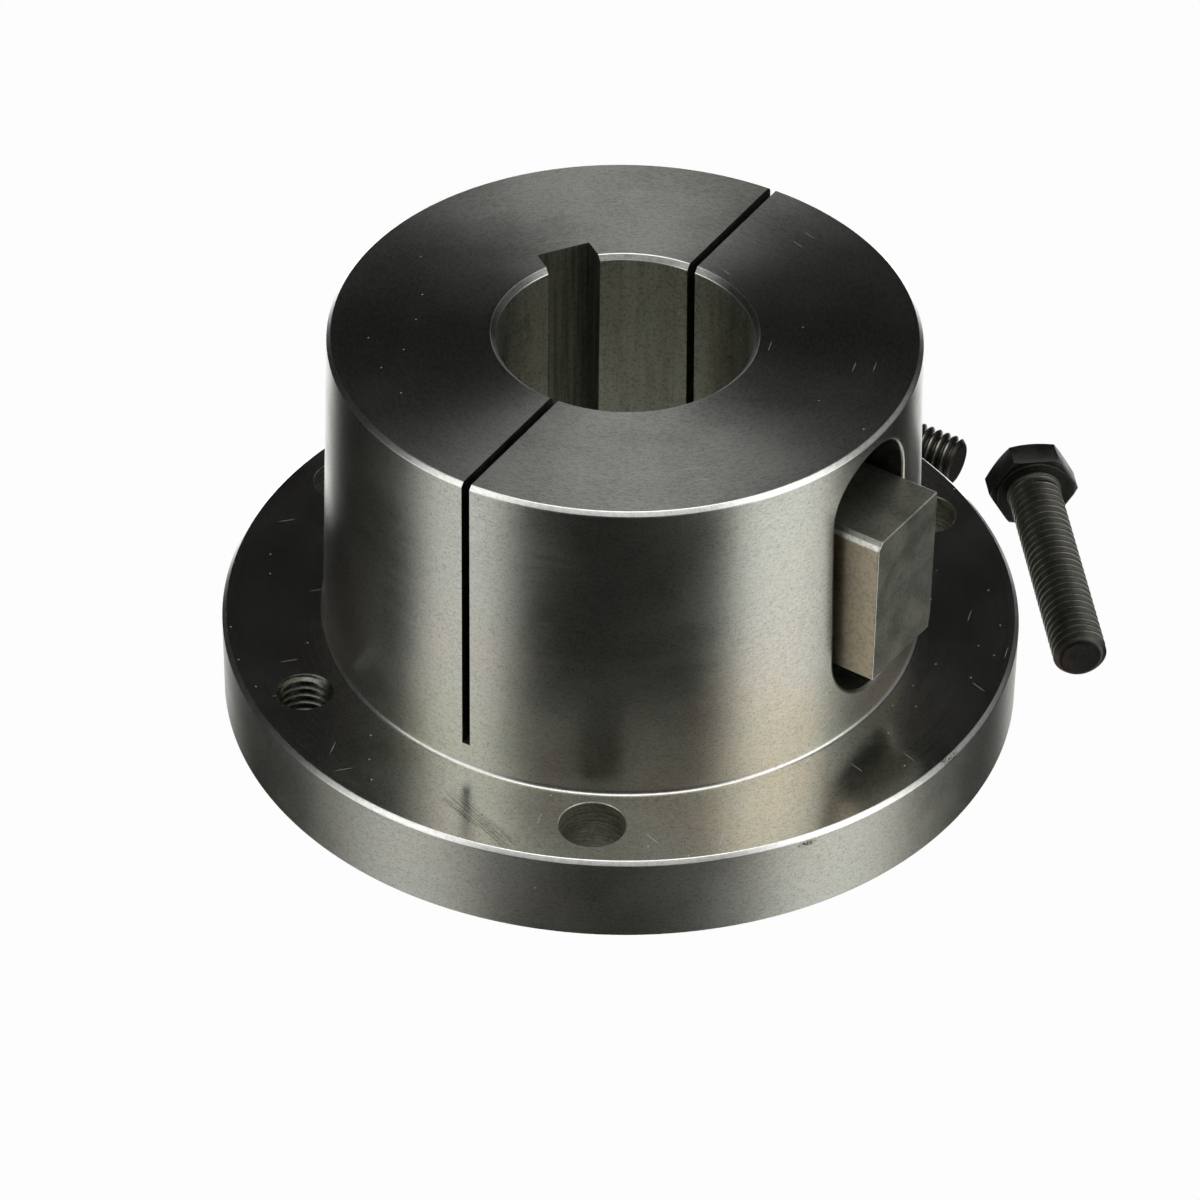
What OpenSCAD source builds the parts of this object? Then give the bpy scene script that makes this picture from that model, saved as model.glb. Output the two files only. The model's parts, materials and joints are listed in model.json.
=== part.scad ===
// Flanged split taper bushing with its barrel key and three loose hex cap screws.
// The origin is on the bore axis at the flange's outer face, which is the bottom.
// +Z runs up the bore to the small end of the barrel, and +X points at the barrel key.
// Lengths are millimetres. Most sizes are inch sizes: 136.5 is 5-3/8 in, for example.

/* [Bushing] */
// Length of the bushing along the bore
overall_length = 73; // [66:0.5:90]
// Diameter of the flange
flange_d = 136.5; // [134:0.5:150]
// Thickness of the flange
flange_t = 15.9; // [12:0.1:17]
// Diameter of the barrel at its small, upper end
barrel_small_d = 98.8; // [96:0.1:100]
// Diameter of the barrel where it meets the flange
barrel_large_d = 101.9; // [100:0.1:103]
// Radius of the fillet between the barrel and the flange
root_fillet_r = 0.6; // [0.3:0.1:1.5]
// Edge chamfer on the barrel's small end and on the top of the flange
edge_chamfer = 0.7; // [0.3:0.1:1.5]

/* [Bore] */
// Diameter of the bore, for a 1-11/16 in shaft
bore_d = 42.86; // [38:0.01:46]
// Chamfer at both mouths of the bore
bore_chamfer = 0.9; // [0.3:0.1:1.5]
// Width of the keyway in the bore
keyway_w = 9.53; // [6:0.01:12]
// Depth of the keyway, measured at its side walls
keyway_depth = 4.76; // [3:0.01:6]
// Azimuth of the keyway about the bore axis
keyway_azimuth = 148.5; // [140:0.5:160]

/* [Split] */
// Width of the saw cut that splits the barrel into two halves
slit_w = 1.5; // [1:0.1:3]
// Height of the end of the saw cut above the bottom
slit_end_z = 20.5; // [18:0.1:24]
// Azimuth of the saw cut about the bore axis
slit_azimuth = 93.4; // [85:0.1:100]
// Lean of the saw cut away from the bore axis, which it crosses at the small end
slit_lean = 0.9; // [0:0.1:2]

/* [Flange holes] */
// Diameter of the circle that all the flange holes lie on
bolt_circle_d = 117.5; // [116:0.1:119]
// Diameter of the three plain holes, a clearance size for 3/8 in screws
plain_hole_d = 11.1; // [9.9:0.1:12]
// Minor diameter of the two 3/8-16 threaded holes, the size of their tap drill
threaded_hole_d = 7.94; // [7.6:0.01:8.4]
// Diameter of the countersink on the upper mouths of the threaded holes
countersink_d = 9.6; // [9:0.1:11.5]

/* [Barrel key] */
// Width and height of the square bar that the key is cut from
key_w = 17.8; // [16:0.1:19]
// Length of the key along the barrel
key_length = 28; // [20:0.5:32]
// Distance of the key's outer face from the bore axis
key_face_r = 55.8; // [54:0.1:58]
// Distance of the key from the middle of its seat, across the barrel
key_offset = 0.5; // [-0.4:0.1:0.5]
// Height of the key's lower end above the bottom
key_z = 30.5; // [29:0.1:36]
// Chamfer on one side of the key's upper end, across the bar and along it
key_upper_chamfer = [1.1, 1.2];
// Chamfer on the other side of the key's lower end, across the bar and along it
key_lower_chamfer = [0.5, 2.8];
// Width of the round-ended seat that the key lies in
seat_w = 20.5; // [20:0.1:22]
// Height of the seat's lower end above the bottom
seat_low_z = 22.2; // [20:0.1:24]
// Height of the seat's upper end above the bottom
seat_high_z = 70.2; // [68:0.1:71]

/* [Cap screws] */
// Thread diameter of the 3/8-16 cap screws, over the crests
screw_d = 9.4; // [9:0.1:9.5]
// Length of a screw under its head
screw_length = 44; // [38:0.5:51]
// Width of the hex head across its flats
head_af = 14; // [13.9:0.1:14.3]
// Height of the hex head
head_h = 5.95; // [5.7:0.05:6.1]
// Chamfer at the tip of a screw
tip_chamfer = 1.1; // [0.5:0.1:1.5]

/* [Hidden] */
$fn = 96;

far = 200;
flange_r = flange_d / 2;
bolt_circle_r = bolt_circle_d / 2;
bore_r = bore_d / 2;
small_r = barrel_small_d / 2;
large_r = barrel_large_d / 2;

// Azimuths of the flange holes: plain and threaded ones alternate every 60 degrees,
// and the place under the key has no hole.
plain_azimuths = [60, 180, 300];
threaded_azimuths = [120, 240];

// Distance from the bore axis to the floor of the bore's keyway
keyway_floor_r = sqrt(pow(bore_r, 2) - pow(keyway_w / 2, 2)) + keyway_depth;
// The key is a square bar, so its seat's floor lies one bar width behind its face
seat_floor_r = key_face_r - key_w;

// A lying screw touches the floor with a flat of its head and with the edge of its tip
screw_tilt = atan((head_af - screw_d) / 2 / (screw_length - tip_chamfer));
// The middle of each screw's bearing face, seen from above, and the azimuth of its tip
screw_places = [
    [[36.5, 77.3], -47.9],
    [[-24.4, 75.1], 5.7],
    [[-66.5, 55.5], 57]
];

module at_azimuth(azimuth, radius) {
    rotate([0, 0, azimuth]) translate([radius, 0, 0]) children();
}

// Half section of the flange and barrel: x is the radius, y is the height
module turned_section() {
    fillet_steps = 6;
    polygon(concat(
        [
            [bore_r + bore_chamfer, 0],
            [flange_r - edge_chamfer / 2, 0],
            [flange_r, edge_chamfer / 2],
            [flange_r, flange_t - edge_chamfer],
            [flange_r - edge_chamfer, flange_t]
        ],
        [
            for (i = [0 : fillet_steps])
                let (a = 90 * i / fillet_steps)
                [
                    large_r + root_fillet_r * (1 - sin(a)),
                    flange_t + root_fillet_r * (1 - cos(a))
                ]
        ],
        [
            [small_r, overall_length - edge_chamfer],
            [small_r - edge_chamfer, overall_length],
            [bore_r + bore_chamfer, overall_length],
            [bore_r, overall_length - bore_chamfer],
            [bore_r, bore_chamfer]
        ]
    ));
}

module bore_keyway() {
    rotate([0, 0, keyway_azimuth])
        translate([0, -keyway_w / 2, -1])
            cube([keyway_floor_r, keyway_w, overall_length + 2]);
}

// One saw cut right across the barrel, so it opens both of its walls
module saw_cut() {
    rotate([0, 0, slit_azimuth])
        intersection() {
            translate([0, 0, overall_length])
                rotate([-slit_lean, 0, 0])
                    cube([2 * large_r + 10, slit_w, far], center = true);
            translate([-far / 2, -far / 2, slit_end_z]) cube(far);
        }
}

module plain_hole() {
    translate([0, 0, -1]) cylinder(d = plain_hole_d, h = flange_t + 2);
}

module threaded_hole() {
    sink_depth = (countersink_d - threaded_hole_d) / 2;
    translate([0, 0, -1]) cylinder(d = threaded_hole_d, h = flange_t + 2);
    translate([0, 0, flange_t - sink_depth])
        cylinder(d1 = threaded_hole_d, d2 = countersink_d, h = sink_depth);
}

// The seat is milled with a cutter as wide as the seat, so both its ends are round
module key_seat() {
    low = seat_low_z + seat_w / 2;
    high = seat_high_z - seat_w / 2;
    for (z = [low, high])
        translate([seat_floor_r, 0, z]) rotate([0, 90, 0]) cylinder(d = seat_w, h = far);
    translate([seat_floor_r, -seat_w / 2, low]) cube([far, seat_w, high - low]);
}

module bushing_body() {
    color("#55564f")
        difference() {
            rotate_extrude($fn = 180) turned_section();
            bore_keyway();
            saw_cut();
            for (azimuth = plain_azimuths) at_azimuth(azimuth, bolt_circle_r) plain_hole();
            for (azimuth = threaded_azimuths) at_azimuth(azimuth, bolt_circle_r) threaded_hole();
            key_seat();
        }
}

module barrel_key() {
    half = key_w / 2;
    high = key_z + key_length;
    color("#6e6a5e")
        translate([seat_floor_r, key_offset, 0])
            rotate([90, 0, 90])
                linear_extrude(height = key_w)
                    polygon([
                        [-half, key_z],
                        [half - key_lower_chamfer[0], key_z],
                        [half, key_z + key_lower_chamfer[1]],
                        [half, high],
                        [-half + key_upper_chamfer[0], high],
                        [-half, high - key_upper_chamfer[1]]
                    ]);
}

// A screw along Z: its bearing face is at z = 0, its head below and its shank above
module cap_screw() {
    corner_r = head_af / 2 / cos(30);
    crown = 1.1;
    washer_h = 0.4;
    washer_r = head_af / 2 - 0.3;
    intersection() {
        translate([0, 0, -head_h])
            rotate([0, 0, 30])
                cylinder(r = corner_r, h = head_h - washer_h, $fn = 6);
        translate([0, 0, -head_h])
            rotate_extrude()
                polygon([
                    [0, 0],
                    [corner_r - crown * 1.9, 0],
                    [corner_r + 0.1, crown],
                    [corner_r + 0.1, head_h],
                    [0, head_h]
                ]);
    }
    rotate_extrude()
        polygon([
            [0, -head_h / 2],
            [washer_r, -head_h / 2],
            [washer_r, 0],
            [screw_d / 2, 0],
            [screw_d / 2, screw_length - tip_chamfer],
            [screw_d / 2 - tip_chamfer, screw_length],
            [0, screw_length]
        ]);
}

// A screw lying on the floor, with a flat of its head down and its tip drooping
module lying_screw(place) {
    color("#2e2d2b")
        translate([place[0][0], place[0][1], head_af / 2 * cos(screw_tilt)])
            rotate([0, 90 + screw_tilt, place[1]])
                cap_screw();
}

module cap_screw_1() {
    lying_screw(screw_places[0]);
}

module cap_screw_2() {
    lying_screw(screw_places[1]);
}

module cap_screw_3() {
    lying_screw(screw_places[2]);
}

bushing_body();
barrel_key();
cap_screw_1();
cap_screw_2();
cap_screw_3();
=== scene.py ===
"""A flanged split taper bushing, its barrel key and three loose hex cap screws, under soft studio light.

The bushing and the screws are rebuilt as finer meshes than the CAD's, with cut threads and worn edges; the
bushing's edges also carry painted highlights.
Lengths are metres in the CAD's frame: +Z runs up the bore and +X points at the barrel key.
"""

import json
import math
from itertools import product

import bmesh
import bpy
from mathutils import Matrix, Vector


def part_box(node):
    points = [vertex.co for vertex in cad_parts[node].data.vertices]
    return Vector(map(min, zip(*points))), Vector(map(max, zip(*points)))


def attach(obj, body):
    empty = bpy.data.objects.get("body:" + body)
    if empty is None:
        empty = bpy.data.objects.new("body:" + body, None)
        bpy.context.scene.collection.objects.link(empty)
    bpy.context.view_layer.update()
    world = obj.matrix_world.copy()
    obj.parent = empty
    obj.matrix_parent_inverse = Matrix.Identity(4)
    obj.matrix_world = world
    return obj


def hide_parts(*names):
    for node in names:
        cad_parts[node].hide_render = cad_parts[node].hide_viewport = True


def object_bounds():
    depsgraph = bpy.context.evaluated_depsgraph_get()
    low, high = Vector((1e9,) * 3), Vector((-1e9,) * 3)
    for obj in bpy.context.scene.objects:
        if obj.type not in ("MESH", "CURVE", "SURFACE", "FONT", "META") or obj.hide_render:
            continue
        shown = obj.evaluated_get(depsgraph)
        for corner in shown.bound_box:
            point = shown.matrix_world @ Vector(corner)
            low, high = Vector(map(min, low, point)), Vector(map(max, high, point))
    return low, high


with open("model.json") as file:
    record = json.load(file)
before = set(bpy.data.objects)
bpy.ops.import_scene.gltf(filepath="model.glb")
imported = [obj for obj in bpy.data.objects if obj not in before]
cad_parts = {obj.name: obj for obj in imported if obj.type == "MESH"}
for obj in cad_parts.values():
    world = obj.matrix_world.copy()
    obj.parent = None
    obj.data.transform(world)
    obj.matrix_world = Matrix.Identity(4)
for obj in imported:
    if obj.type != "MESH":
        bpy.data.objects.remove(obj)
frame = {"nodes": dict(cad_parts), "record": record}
cad_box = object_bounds()

MM = 0.001
UP = Vector((0, 0, 1))

# ---------------------------------------------------------------- sizes

mounts = {m["name"]: m for m in frame["record"]["mounts"]}
nodes = frame["nodes"]
body_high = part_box("bushing_body")[1]
key_low, key_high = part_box("barrel_key")

LENGTH = body_high.z
FLANGE_R = body_high.x
FLANGE_T = mounts["flange_inner_face"]["pos_m"][2]
BORE_R = mounts["bore"]["dims"]["r_mm"] * MM
HOLE_CIRCLE_R = mounts["cap_screw_holes"]["dims"]["pcd_mm"] / 2 * MM
PLAIN_HOLE_R = mounts["cap_screw_holes"]["dims"]["hole_r_mm"] * MM
TAPPED_HOLE_R = mounts["jack_screw_holes"]["dims"]["hole_r_mm"] * MM
keyway_place = Vector(mounts["shaft_keyway"]["pos_m"])
KEYWAY_AZIMUTH = math.atan2(keyway_place.y, keyway_place.x)
KEYWAY_FLOOR_R = keyway_place.xy.length
SEAT_FLOOR_R = key_low.x

# Small sizes of the bushing that the record doesn't hold, the same as in the part's source
ROOT_FILLET = 0.6 * MM
EDGE_CHAMFER = 0.7 * MM
BORE_CHAMFER = 0.9 * MM
KEYWAY_W = 9.53 * MM
SLIT_W = 1.5 * MM
SLIT_END = 20.5 * MM
SLIT_AZIMUTH = math.radians(93.4)
SLIT_LEAN = math.radians(0.9)
COUNTERSINK_R = 4.8 * MM
SEAT_W = 20.5 * MM
SEAT_LOW = 22.2 * MM
SEAT_HIGH = 70.2 * MM
PLAIN_AZIMUTHS = [math.radians(a) for a in (60, 180, 300)]
TAPPED_AZIMUTHS = [math.radians(a) for a in (120, 240)]

# Edges that the CAD leaves sharp: the turned corners, the mouths of the plain holes and of the seat
CORNER_R = 0.14 * MM
HOLE_BREAK = 0.15 * MM
SEAT_EDGE_R = 0.7 * MM

# Marked patches on the flange's edge: azimuth, height, half length along the edge and half height
NICK = (math.radians(-29), FLANGE_T - 1.5 * MM, 2.2 * MM, 0.8 * MM)
ROUGH_PATCH = (math.radians(-2), FLANGE_T - 0.3 * MM, 3.2 * MM, 1.2 * MM)
# The same patches as pits: the stretch of crumbly noise where they form, and how much they darken
NICK_PITS = (NICK, 0.42, 0.5, 0.75)
ROUGH_PITS = (ROUGH_PATCH, 0.5, 0.56, 0.7)
# A rubbed streak on the flange's top face, from one point to another
RUB = ((0.004, -0.058), (0.024, -0.064))

# The 3/8-16 thread of the screws and tapped holes, which the CAD leaves plain, and the hex head
SCREW_R = 4.7 * MM
THREAD_PITCH = 25.4 / 16 * MM
THREAD_DEPTH = 0.9 * MM
TAPPED_DEPTH = 0.8 * MM
HEAD_AF = 14 * MM
HEAD_H = 5.95 * MM
HEAD_CROWN = 1.1 * MM
WASHER_H = 0.4 * MM
WASHER_R = HEAD_AF / 2 - 0.3 * MM
TIP_CHAMFER = 1.1 * MM
# The attribute that keeps where each point was along a screw's own axis
OWN_PLACE = "own_place"

# How far cutters reach past the metal they cut
PAST = 5 * MM
LATHE_STEPS = 360
CUTTER_STEPS = 96
# Points that round off a corner, less one
SOFT_STEPS = 3


def ring_radius(node, z):
    """Largest radius of a CAD node's vertices at a height."""
    near = [v.co.xy.length for v in nodes[node].data.vertices if abs(v.co.z - z) < 0.05 * MM]
    return max(near)


SMALL_R = ring_radius("bushing_body", LENGTH - EDGE_CHAMFER)
LARGE_R = ring_radius("bushing_body", FLANGE_T + ROOT_FILLET)


# ---------------------------------------------------------------- mesh helpers


def mesh_object(name, verts, faces):
    """A mesh object in the scene, with its faces turned outwards."""
    mesh = bpy.data.meshes.new(name)
    mesh.from_pydata([tuple(v) for v in verts], [], faces)
    bm = bmesh.new()
    bm.from_mesh(mesh)
    bmesh.ops.recalc_face_normals(bm, faces=bm.faces)
    bm.to_mesh(mesh)
    bm.free()
    obj = bpy.data.objects.new(name, mesh)
    bpy.context.scene.collection.objects.link(obj)
    return obj


def lathe(name, outline, steps):
    """Turns a closed outline of (radius, height) points about Z. Points at radius 0 make poles."""
    verts, rows = [], []
    for r, z in outline:
        if r < 1e-9:
            rows.append([len(verts)] * steps)
            verts.append((0, 0, z))
        else:
            rows.append(list(range(len(verts), len(verts) + steps)))
            for i in range(steps):
                a = 2 * math.pi * i / steps
                verts.append((r * math.cos(a), r * math.sin(a), z))
    faces = []
    for k, low in enumerate(rows):
        high = rows[(k + 1) % len(rows)]
        if low[0] == low[-1] and high[0] == high[-1]:
            continue
        for i in range(steps):
            j = (i + 1) % steps
            corners = [low[i], low[j], high[j], high[i]]
            faces.append(list(dict.fromkeys(corners)))
    return mesh_object(name, verts, faces)


def box_object(name, low, high, matrix=Matrix.Identity(4)):
    """A plain box between two corners, used to cut."""
    corners = [Vector(corner) for corner in product(*zip(low, high))]
    faces = [(0, 1, 3, 2), (4, 6, 7, 5), (0, 4, 5, 1), (2, 3, 7, 6), (0, 2, 6, 4), (1, 5, 7, 3)]
    return mesh_object(name, [matrix @ c for c in corners], faces)


def softened(outline, radius):
    """The outline with each corner rounded over a short stretch."""
    points = []
    n = len(outline)
    for i in range(n):
        here, before, after = (Vector(outline[j % n]) for j in (i, i - 1, i + 1))
        reach = [min(radius, 0.4 * (other - here).length) for other in (before, after)]
        start = here + (before - here).normalized() * reach[0]
        end = here + (after - here).normalized() * reach[1]
        for k in range(SOFT_STEPS + 1):
            t = k / SOFT_STEPS
            points.append(tuple(start * (1 - t) ** 2 + here * 2 * t * (1 - t) + end * t**2))
    return points


def helix_solid(name, root_r, crest_r, low, high):
    """A closed right-handed thread along Z, which runs past low and high for a cut to trim."""
    # One pitch of the thread: how far along the pitch, and how far up from root to crest
    profile = [(0, 0), (0.12, 0), (0.19, 0.1), (0.43, 0.9), (0.49, 1), (0.63, 1), (0.69, 0.9), (0.93, 0.1)]
    steps = 48
    turns = math.ceil((high - low) / THREAD_PITCH) + 3
    count = turns * steps
    verts = []
    for i in range(count + 1):
        a = 2 * math.pi * i / steps
        for u, rise in profile:
            r = root_r + (crest_r - root_r) * rise
            z = low + THREAD_PITCH * (i / steps + u - 1.5)
            verts.append((r * math.cos(a), r * math.sin(a), z))
    width = len(profile)

    def at(i, k):
        return (i + steps) * width if k == width else i * width + k

    faces = []
    for i in range(count - steps):
        for k in range(width):
            faces.append((at(i, k), at(i + 1, k), at(i + 1, k + 1), at(i, k + 1)))
    for row, z in ((0, low - 3 * THREAD_PITCH), (count - steps, high + 3 * THREAD_PITCH)):
        ring = [at(i, 0) for i in range(row, row + steps + 1)] + [at(row, k) for k in range(width - 1, 0, -1)]
        verts.append((0, 0, z))
        hub = len(verts) - 1
        for i, a in enumerate(ring):
            faces.append((a, ring[(i + 1) % len(ring)], hub))
    keep = sorted({i for f in faces for i in f})
    place = {old: new for new, old in enumerate(keep)}
    return mesh_object(name, [verts[i] for i in keep], [[place[i] for i in f] for f in faces])


def weld(mesh, gap=0.001 * MM):
    """Merges the hair-thin edges that a cut leaves, so the mesh stays closed."""
    bm = bmesh.new()
    bm.from_mesh(mesh)
    bmesh.ops.remove_doubles(bm, verts=bm.verts, dist=gap)
    bmesh.ops.dissolve_degenerate(bm, edges=bm.edges, dist=gap)
    bm.to_mesh(mesh)
    bm.free()


def applied(obj):
    """The object's mesh with its modifiers applied, which are then taken off."""
    evaluated = obj.evaluated_get(bpy.context.evaluated_depsgraph_get())
    mesh = bpy.data.meshes.new_from_object(evaluated)
    obj.modifiers.clear()
    return mesh


def combine(obj, tool, operation):
    """Cuts, joins or intersects obj with tool, and removes the tool."""
    change = obj.modifiers.new(operation, "BOOLEAN")
    change.operation = operation
    change.solver = "EXACT"
    change.object = tool
    mesh = applied(obj)
    weld(mesh)
    old = obj.data
    obj.data = mesh
    bpy.data.meshes.remove(old)
    bpy.data.objects.remove(tool)
    return obj


def add_bevel(obj, width):
    """Adds a modifier that rounds the object's sharp edges."""
    bevel = obj.modifiers.new("edges", "BEVEL")
    bevel.width = width
    bevel.segments = 2
    bevel.limit_method = "ANGLE"
    bevel.angle_limit = math.radians(25)


def turned(azimuth):
    """A turn about the bore axis."""
    return Matrix.Rotation(azimuth, 4, "Z")


# ---------------------------------------------------------------- bushing body


def body_outline():
    """Half section of the flange and barrel as (radius, height) points."""
    flange = [
        (BORE_R + BORE_CHAMFER, 0),
        (FLANGE_R - EDGE_CHAMFER / 2, 0),
        (FLANGE_R, EDGE_CHAMFER / 2),
        (FLANGE_R, FLANGE_T - EDGE_CHAMFER),
        (FLANGE_R - EDGE_CHAMFER, FLANGE_T),
    ]
    fillet = []
    fillet_steps = 6
    for i in range(fillet_steps + 1):
        a = math.pi / 2 * i / fillet_steps
        r = LARGE_R + ROOT_FILLET * (1 - math.sin(a))
        z = FLANGE_T + ROOT_FILLET * (1 - math.cos(a))
        fillet.append((r, z))
    barrel = [
        (SMALL_R, LENGTH - EDGE_CHAMFER),
        (SMALL_R - EDGE_CHAMFER, LENGTH),
        (BORE_R + BORE_CHAMFER, LENGTH),
        (BORE_R, LENGTH - BORE_CHAMFER),
        (BORE_R, BORE_CHAMFER),
    ]
    # The fillet's ends aren't corners and the first corner comes twice, so those points are dropped
    end = SOFT_STEPS + 1
    outer = softened(flange + fillet[:1], CORNER_R)[:-end]
    inner = softened(fillet[-1:] + barrel + flange[:1], CORNER_R)[end:-end]
    return outer + fillet + inner


def outline_segments(outline):
    """Each segment of a closed outline: its ends, its normal, and a normal for each end.

    The end normals are smooth across gentle corners.
    """
    n = len(outline)
    segments = []
    for i in range(n):
        along = Vector(outline[(i + 1) % n]) - Vector(outline[i])
        segments.append((Vector((along.y, -along.x)).normalized(), along.length))
    ends = []
    for i in range(n):
        pair = []
        for other in (i - 1, (i + 1) % n):
            own, own_length = segments[i]
            near, near_length = segments[other]
            gentle = own.dot(near) > math.cos(math.radians(40))
            pair.append((own * own_length + near * near_length).normalized() if gentle else own)
        ends.append(pair)
    corners = [Vector(point) for point in outline]
    return [(corners[i], corners[(i + 1) % n], segments[i][0], *ends[i]) for i in range(n)]


def barrel_radius(z):
    """Radius of the tapered barrel at a height."""
    low, high = FLANGE_T + ROOT_FILLET, LENGTH - EDGE_CHAMFER
    return LARGE_R + (SMALL_R - LARGE_R) * (z - low) / (high - low)


def seat_cutter():
    """The key's seat: a slot with round ends, milled in from the barrel's side, with a rounded mouth."""
    half = SEAT_W / 2
    middle = LENGTH / 2
    flare = 1.3
    steps = 48
    ring = []
    for centre, start in ((SEAT_HIGH - half, 0), (SEAT_LOW + half, math.pi)):
        for i in range(steps + 1):
            a = start + math.pi * i / steps
            ring.append((centre, math.cos(a), math.sin(a)))

    def level(turn):
        """The ring at an angle round the mouth's rounding: 0 at its root, 90 degrees at the surface."""
        spread = half + SEAT_EDGE_R * (1 - math.cos(turn))
        points = []
        for centre, side, along in ring:
            y, z = spread * side, centre + spread * along
            depth = SEAT_EDGE_R * (1 - math.sin(turn))
            points.append((math.sqrt(barrel_radius(z) ** 2 - y**2) - depth, y, z))
        return points

    mouth = [level(math.radians(a)) for a in (0, 15, 30, 45, 60, 75, 86)]
    rows = [[(SEAT_FLOOR_R, y, z) for _, y, z in mouth[0]]] + mouth
    rows.append([(FLANGE_R + 2 * PAST, y * flare, (z - middle) * flare + middle) for _, y, z in mouth[-1]])
    n = len(ring)
    faces = [list(range(n)), list(range((len(rows) - 1) * n, len(rows) * n))]
    for k in range(len(rows) - 1):
        low, high = k * n, (k + 1) * n
        for i in range(n):
            j = (i + 1) % n
            faces.append((low + i, low + j, high + j, high + i))
    return mesh_object("seat_cutter", [v for row in rows for v in row], faces)


def round_cutter(azimuth, outline):
    """A turned cutter on the hole circle."""
    tool = lathe("round_cutter", outline, CUTTER_STEPS)
    tool.data.transform(turned(azimuth) @ Matrix.Translation((HOLE_CIRCLE_R, 0, 0)))
    return tool


def cut_keyway(body):
    low = (0, -KEYWAY_W / 2, -PAST)
    high = (KEYWAY_FLOOR_R, KEYWAY_W / 2, LENGTH + PAST)
    combine(body, box_object("keyway", low, high, turned(KEYWAY_AZIMUTH)), "DIFFERENCE")


def cut_slit(body):
    """The leaning saw cut right across the barrel, down to its square end."""
    lean = Matrix.Translation((0, 0, LENGTH)) @ Matrix.Rotation(-SLIT_LEAN, 4, "X")
    low = (-LARGE_R - PAST, -SLIT_W / 2, -LENGTH)
    high = (LARGE_R + PAST, SLIT_W / 2, PAST)
    slab = box_object("slab", low, high, turned(SLIT_AZIMUTH) @ lean)
    reach = LENGTH * 2
    above = box_object("above", (-reach, -reach, SLIT_END), (reach, reach, reach))
    combine(body, combine(slab, above, "INTERSECT"), "DIFFERENCE")


def cut_plain_holes(body):
    mouth_r = PLAIN_HOLE_R + HOLE_BREAK
    outline = [
        (0, -PAST), (mouth_r, -PAST), (mouth_r, 0), (PLAIN_HOLE_R, HOLE_BREAK),
        (PLAIN_HOLE_R, FLANGE_T - HOLE_BREAK), (mouth_r, FLANGE_T),
        (mouth_r, FLANGE_T + PAST), (0, FLANGE_T + PAST),
    ]
    for azimuth in PLAIN_AZIMUTHS:
        combine(body, round_cutter(azimuth, outline), "DIFFERENCE")


def cut_tapped_holes(body):
    """Threads right through the flange, with a countersink at the upper mouth."""
    sink_low = FLANGE_T - (COUNTERSINK_R - TAPPED_HOLE_R)
    outline = [
        (0, sink_low), (TAPPED_HOLE_R, sink_low), (COUNTERSINK_R, FLANGE_T),
        (COUNTERSINK_R, FLANGE_T + PAST), (0, FLANGE_T + PAST),
    ]
    for azimuth in TAPPED_AZIMUTHS:
        thread = helix_solid("tapped", TAPPED_HOLE_R, TAPPED_HOLE_R + TAPPED_DEPTH, 0, FLANGE_T)
        thread.data.transform(turned(azimuth) @ Matrix.Translation((HOLE_CIRCLE_R, 0, 0)))
        combine(body, thread, "DIFFERENCE")
        combine(body, round_cutter(azimuth, outline), "DIFFERENCE")


def make_body():
    """The flange and split barrel, turned and then cut."""
    outline = body_outline()
    body = lathe("split_bushing", outline, LATHE_STEPS)
    cut_keyway(body)
    cut_slit(body)
    cut_plain_holes(body)
    cut_tapped_holes(body)
    combine(body, seat_cutter(), "DIFFERENCE")
    shade_body(body, outline_segments(outline))
    return body


# The body's material slots, in order
ZONES = (
    "barrel", "end_face", "flange_face", "rim", "bore", "edge", "hole", "thread", "slit", "keyway", "seat",
)
SEAT_AXES = (SEAT_LOW + SEAT_W / 2, SEAT_HIGH - SEAT_W / 2)
PLAIN_PLACES = [turned(a) @ Vector((HOLE_CIRCLE_R, 0, 0)) for a in PLAIN_AZIMUTHS]
TAPPED_PLACES = [turned(a) @ Vector((HOLE_CIRCLE_R, 0, 0)) for a in TAPPED_AZIMUTHS]


def share_along(here, start, end):
    """How far along a segment the nearest point to here lies, from 0 to 1."""
    along = end - start
    return max(0, min(1, (here - start).dot(along) / along.length_squared))


def nearest_segment(segments, points, facing):
    """The outline segment that all the points lie on, or None. It must face roughly the same way."""
    best, best_gap = None, 0.015 * MM
    for start, end, normal, start_normal, end_normal in segments:
        if normal.dot(facing) < 0.9:
            continue
        gap = 0
        for point in points:
            here = Vector((point.xy.length, point.z))
            nearest = start + (end - start) * share_along(here, start, end)
            gap = max(gap, (nearest - here).length)
        gap += (1 - normal.dot(facing)) * 0.01 * MM
        if gap < best_gap:
            best, best_gap = (start, end, start_normal, end_normal), gap
    return best


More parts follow.
